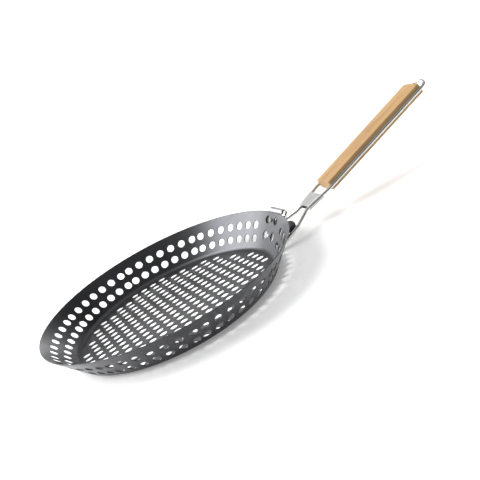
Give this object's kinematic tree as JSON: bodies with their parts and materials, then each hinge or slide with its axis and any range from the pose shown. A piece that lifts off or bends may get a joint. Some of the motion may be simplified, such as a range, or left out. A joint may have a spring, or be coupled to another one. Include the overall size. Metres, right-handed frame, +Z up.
{
  "type": "grill basket",
  "caption": "Round shallow grill basket in perforated coated steel, with a folding wire handle, a sliding lock collar and a wood grip.",
  "frame": {"origin": "centre of the pan's base, on the surface it stands on", "axes": "+Z up, +X from the pan's centre towards the handle, +Y across the handle"},
  "size_m": [0.5318, 0.3006, 0.0821],
  "materials": {
    "coated_steel": "dark grey non-stick coating, satin",
    "rivet_steel": "coated rivets with rubbed heads",
    "polished_steel": "polished stainless wire and strip",
    "satin_steel": "satin stainless sheet",
    "screw_steel": "plain stainless screws",
    "oiled_wood": "oiled light brown hardwood, satin"
  },
  "bodies": {
    "pan_body": {"pan": "coated_steel", "hinge_bracket": "coated_steel", "hinge_barrel": "polished_steel", "hinge_rivets": "rivet_steel"},
    "handle": {"handle_wire": "polished_steel", "upper_grip": "oiled_wood", "lower_grip": "oiled_wood", "grip_screws": "screw_steel"},
    "collar": {"lock_collar": "satin_steel"}
  },
  "joints": [
    {"name": "handle_fold", "type": "hinge", "parent": "pan_body", "child": "handle", "pos_m": [0.15569, 0, 0.035], "axis": [0, -1, 0], "range_deg": [0, 172]},
    {"name": "collar_slide", "type": "slide", "parent": "handle", "child": "collar", "axis": [0.9578, 0, 0.2874], "range_m": [-0.003, 0]}
  ]
}
